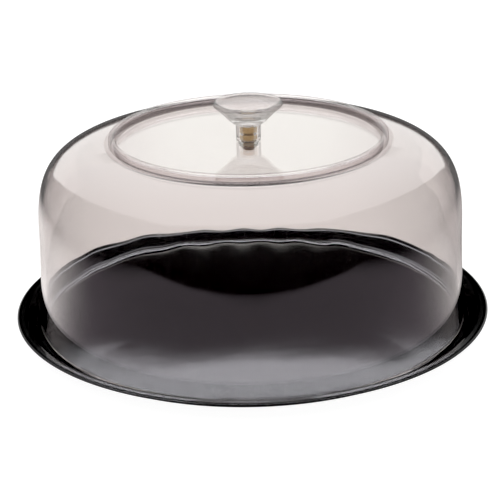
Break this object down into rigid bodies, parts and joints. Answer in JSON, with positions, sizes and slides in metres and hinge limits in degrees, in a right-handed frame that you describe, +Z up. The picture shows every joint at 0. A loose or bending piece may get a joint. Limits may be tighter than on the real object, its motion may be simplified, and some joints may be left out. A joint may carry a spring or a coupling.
{
  "type": "domed food display cover on tray",
  "caption": "Clear round domed cover with a top knob, resting inside the raised flange of a black serving tray; the cover lifts straight off.",
  "frame": {"origin": "centre of the tray's foot ring, on the table plane", "axes": "+Z up along the cover's lift axis and the turned axis of every piece; X and Y are equivalent, +Y is away from the usual viewer"},
  "size_m": [0.34, 0.34, 0.164],
  "materials": {
    "tray_plastic": "polished black moulded plastic, faint handling haze",
    "dome_plastic": "polished clear moulded plastic with a faint warm grey tint and slight moulding waviness",
    "knob_plastic": "polished clear plastic",
    "insert_brass": "straight-knurled brass, slightly dulled",
    "screw_steel": "bright zinc-plated steel",
    "washer_steel": "bright zinc-plated steel, punched edge",
    "seal_vinyl": "soft translucent vinyl"
  },
  "bodies": {
    "tray": {"tray": "tray_plastic"},
    "cover": {"dome_shell": "dome_plastic", "knob": "knob_plastic", "knob_insert": "insert_brass", "knob_screw": "screw_steel", "flat_washer": "washer_steel", "seal_washer": "seal_vinyl"}
  },
  "joints": [
    {"name": "cover_lift", "type": "slide", "parent": "tray", "child": "cover", "axis": [0, 0, 1], "range_m": [0, 0.2]}
  ]
}
